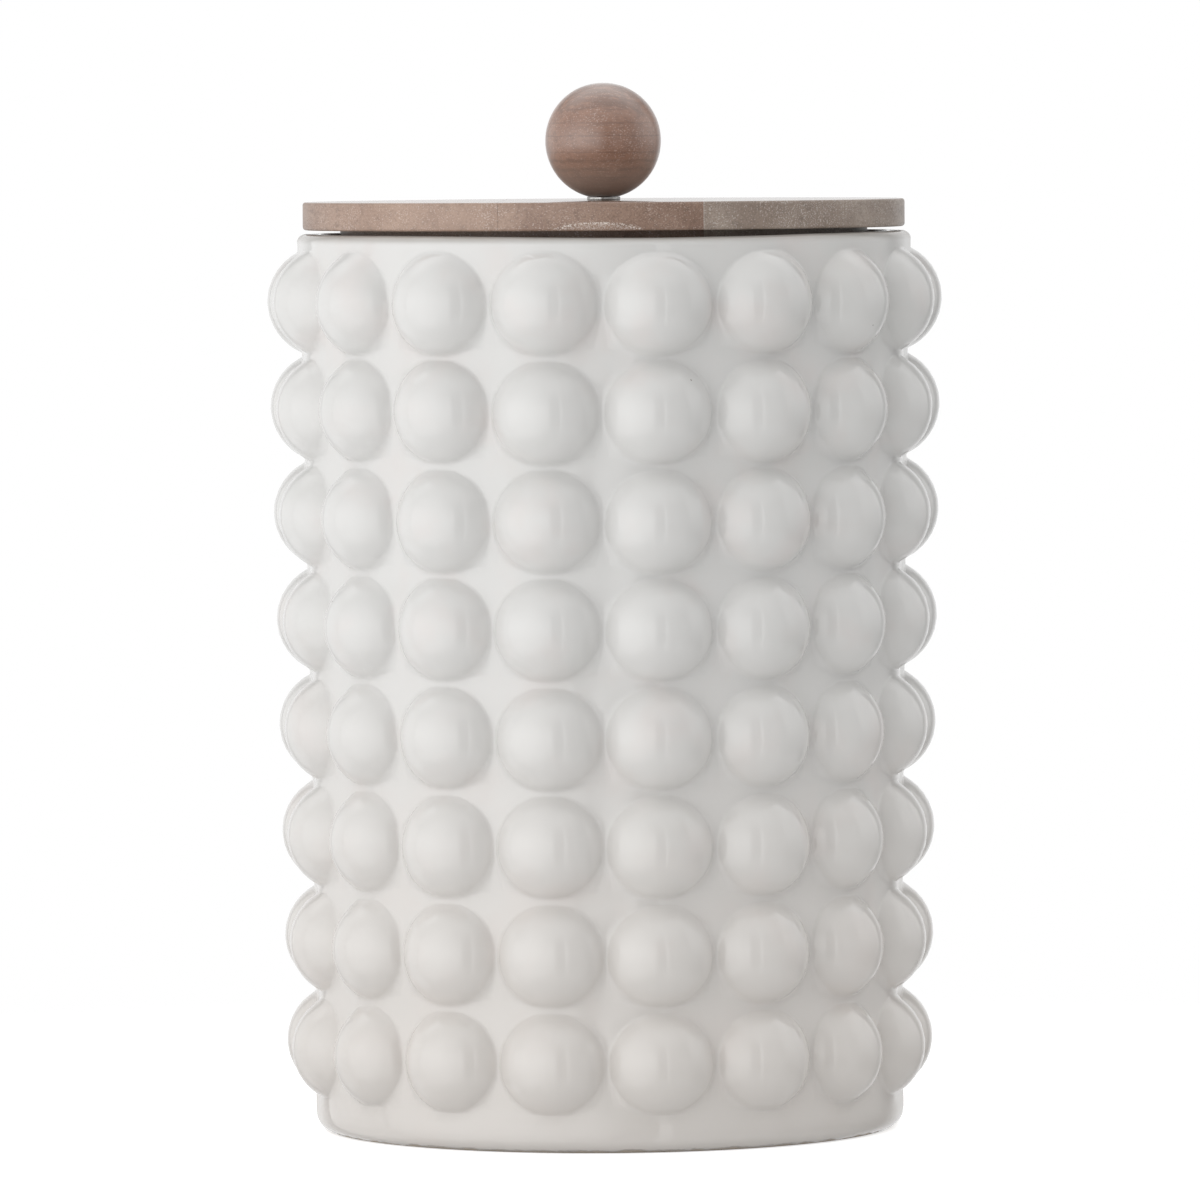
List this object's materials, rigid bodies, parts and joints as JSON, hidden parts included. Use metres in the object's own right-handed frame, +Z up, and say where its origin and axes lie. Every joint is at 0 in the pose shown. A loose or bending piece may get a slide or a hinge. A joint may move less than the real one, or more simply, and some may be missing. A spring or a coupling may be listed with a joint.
{
  "type": "storage jar",
  "caption": "Tall round stoneware storage jar with raised domes in rows all over its wall, and a loose wooden lid with a ball knob and a silicone seal",
  "frame": {"origin": "centre of the jar's foot, on the surface that it stands on", "axes": "+Z up the jar's axis, -Y towards the viewer of the picture, at a crease between two columns of domes, +X to the viewer's right"},
  "size_m": [0.176, 0.1753, 0.2712],
  "materials": {
    "glaze": "gloss",
    "wood_left": "satin",
    "wood_middle": "satin",
    "wood_right": "satin",
    "wood_ball": "satin",
    "silicone": "matte",
    "steel": "satin"
  },
  "bodies": {
    "jar": {"jar_body": "glaze"},
    "seal": {"seal_ring": "silicone"},
    "lid": {"lid_stave_left": "wood_left", "lid_stave_middle": "wood_middle", "lid_stave_right": "wood_right", "knob_washer": "steel", "knob_ball": "wood_ball", "knob_screw": "steel"}
  },
  "joints": [
    {"name": "lid_lift", "type": "slide", "parent": "jar", "child": "seal", "axis": [0, 0, 1], "range_m": [0, 0.12]},
    {"name": "lid_turn", "type": "hinge", "parent": "seal", "child": "lid", "pos_m": [0, 0, 0.233], "axis": [0, 0, 1], "continuous": true}
  ]
}
